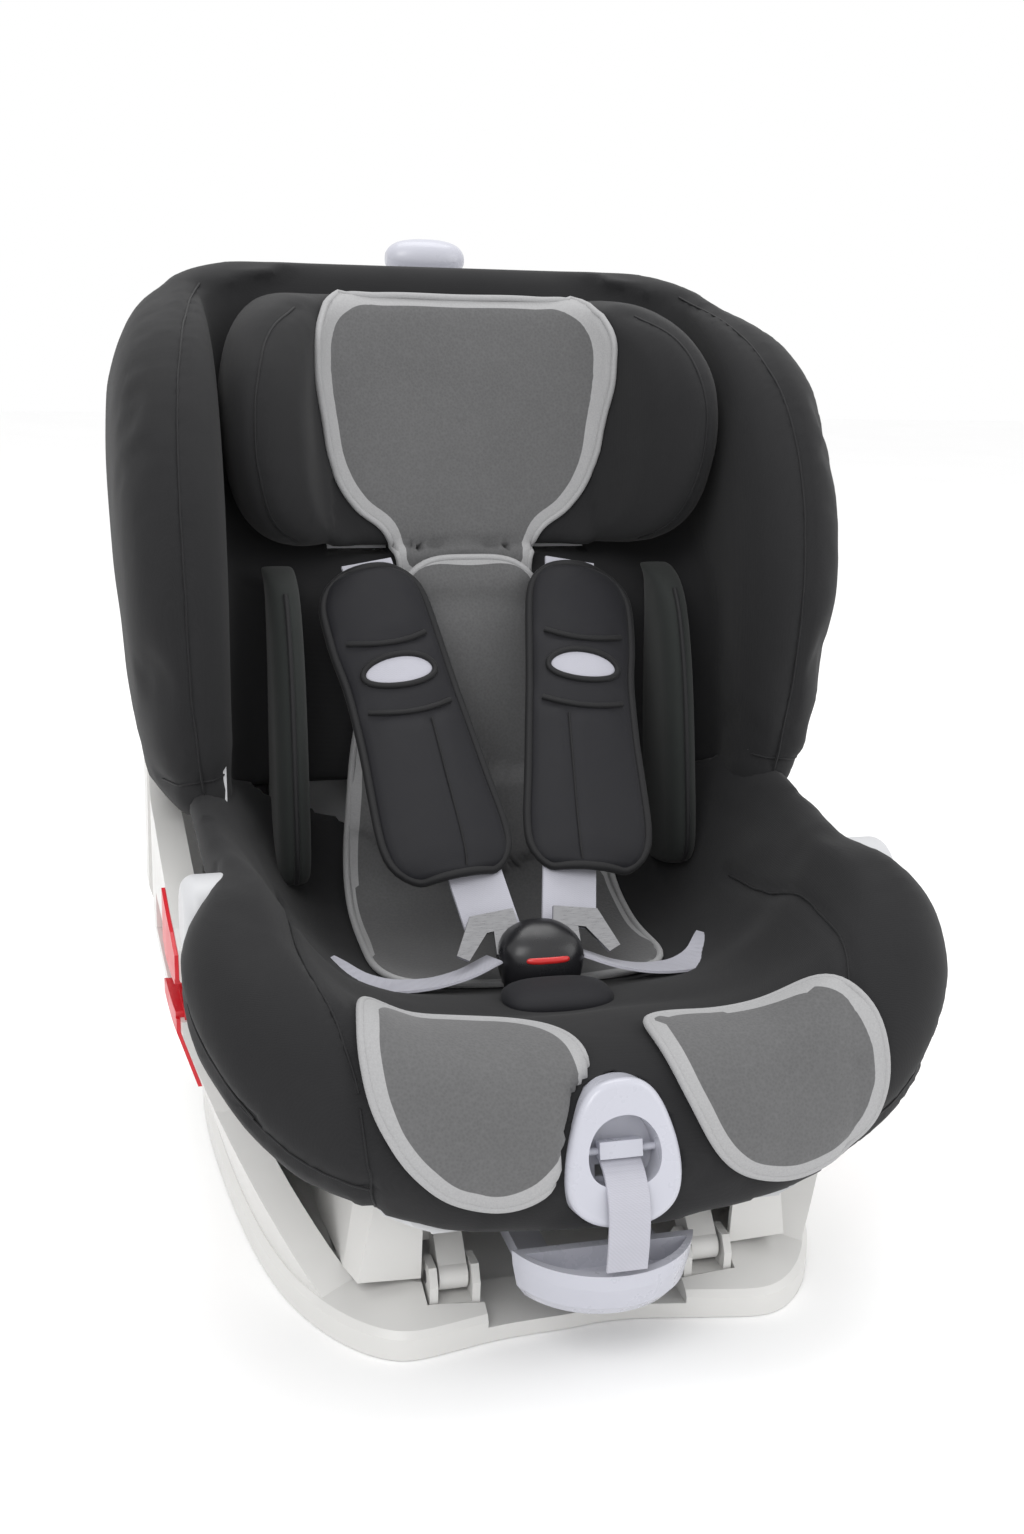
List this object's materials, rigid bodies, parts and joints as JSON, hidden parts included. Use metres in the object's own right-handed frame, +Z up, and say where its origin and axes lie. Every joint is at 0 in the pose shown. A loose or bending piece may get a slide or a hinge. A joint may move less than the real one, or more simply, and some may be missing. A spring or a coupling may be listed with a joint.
{
  "type": "convertible car seat",
  "caption": "Child car seat with a reclining padded shell on a tilting base, height-adjustable winged headrest, harness with central buckle and front strap adjuster.",
  "frame": {"origin": "centre of the whole box at the underside of the base, where the seat stands", "axes": "+X to the right of someone facing the seat, -Y the way the child faces, +Z up"},
  "size_m": [0.5, 0.6005, 0.647],
  "materials": {
    "base_plastic": "satin warm white",
    "shell_plastic": "matte light grey",
    "guide_red": "satin red",
    "satin_grey": "silver grey satin",
    "steel": "plain steel",
    "black_plastic": "satin black",
    "rubber_black": "dull black",
    "button_red": "gloss red",
    "cover_black": "black knit",
    "liner_grey": "grey mesh with a light binding",
    "pad_black": "black padded sleeve",
    "webbing": "light grey polyester webbing"
  },
  "bodies": {
    "base": {"base_tub": "base_plastic", "base_feet": "rubber_black", "side_arm_left": "base_plastic", "side_arm_right": "base_plastic", "rear_upright": "base_plastic", "belt_guide_left": "guide_red", "belt_guide_right": "guide_red", "base_cross_tube": "steel", "tilt_pins": "steel"},
    "carrier": {"carrier_frame": "base_plastic", "rails": "steel", "carrier_skirts": "base_plastic"},
    "lever": {"recline_lever": "satin_grey"},
    "shell": {"seat_shell": "shell_plastic", "shell_side_left": "shell_plastic", "shell_side_right": "shell_plastic", "shell_lug_left": "shell_plastic", "shell_lug_right": "shell_plastic", "back_ribs": "shell_plastic", "runners": "black_plastic", "yoke_guides": "black_plastic", "height_rack": "black_plastic", "shell_screws": "steel", "back_wing_left": "cover_black", "back_wing_right": "cover_black", "back_cushion": "cover_black", "top_roll": "cover_black", "seat_cushion": "cover_black", "bolster_left": "cover_black", "bolster_right": "cover_black", "insert_pad_left": "cover_black", "insert_pad_right": "cover_black", "shoulder_strap_left": "webbing", "shoulder_strap_right": "webbing", "shoulder_pad_left": "pad_black", "shoulder_pad_right": "pad_black", "lap_strap_left": "webbing", "lap_strap_right": "webbing", "buckle_housing": "black_plastic", "tongue_left": "steel", "tongue_right": "steel", "crotch_strap": "webbing", "crotch_pad": "pad_black", "adjuster_bezel": "satin_grey", "adjuster_strap": "webbing", "splitter_plate": "steel", "rear_straps": "webbing", "liner_back": "liner_grey", "liner_seat": "liner_grey", "leg_flap_left": "liner_grey", "leg_flap_right": "liner_grey"},
    "headrest": {"headrest_frame": "shell_plastic", "headrest_pad": "cover_black", "headrest_wing_left": "cover_black", "headrest_wing_right": "cover_black", "liner_headrest": "liner_grey"},
    "handle": {"headrest_handle": "satin_grey"},
    "harness_button": {"adjuster_lever": "satin_grey"},
    "buckle_button": {"buckle_button": "button_red"}
  },
  "joints": [
    {"name": "tilt_forward", "type": "hinge", "parent": "base", "child": "carrier", "pos_m": [0, -0.2103, 0.034], "axis": [1, 0, 0], "range_deg": [0, 12]},
    {"name": "recline", "type": "hinge", "parent": "carrier", "child": "shell", "pos_m": [0, -0.0183, 0.655], "axis": [-1, 0, 0], "range_deg": [0, 12]},
    {"name": "recline_pull", "type": "slide", "parent": "carrier", "child": "lever", "axis": [0, -1, 0], "range_m": [0, 0.014], "stiffness_N_per_m": 600, "springref_m": -0.004},
    {"name": "headrest_height", "type": "slide", "parent": "shell", "child": "headrest", "axis": [0, 0.284, 0.9588], "range_m": [0, 0.15], "deforming": ["shoulder_strap_left", "shoulder_strap_right", "rear_straps"]},
    {"name": "headrest_release", "type": "slide", "parent": "headrest", "child": "handle", "axis": [0, 0.284, 0.9588], "range_m": [0, 0.006], "stiffness_N_per_m": 800, "springref_m": -0.002},
    {"name": "harness_release", "type": "hinge", "parent": "shell", "child": "harness_button", "pos_m": [0, -0.27334, 0.14272], "axis": [1, 0, 0], "range_deg": [0, 14], "stiffness_Nm_per_rad": 0.5, "springref_deg": -5.73},
    {"name": "buckle_release", "type": "slide", "parent": "shell", "child": "buckle_button", "axis": [0, 0.788, -0.6157], "range_m": [0, 0.0025], "stiffness_N_per_m": 1500, "springref_m": -0.001}
  ]
}
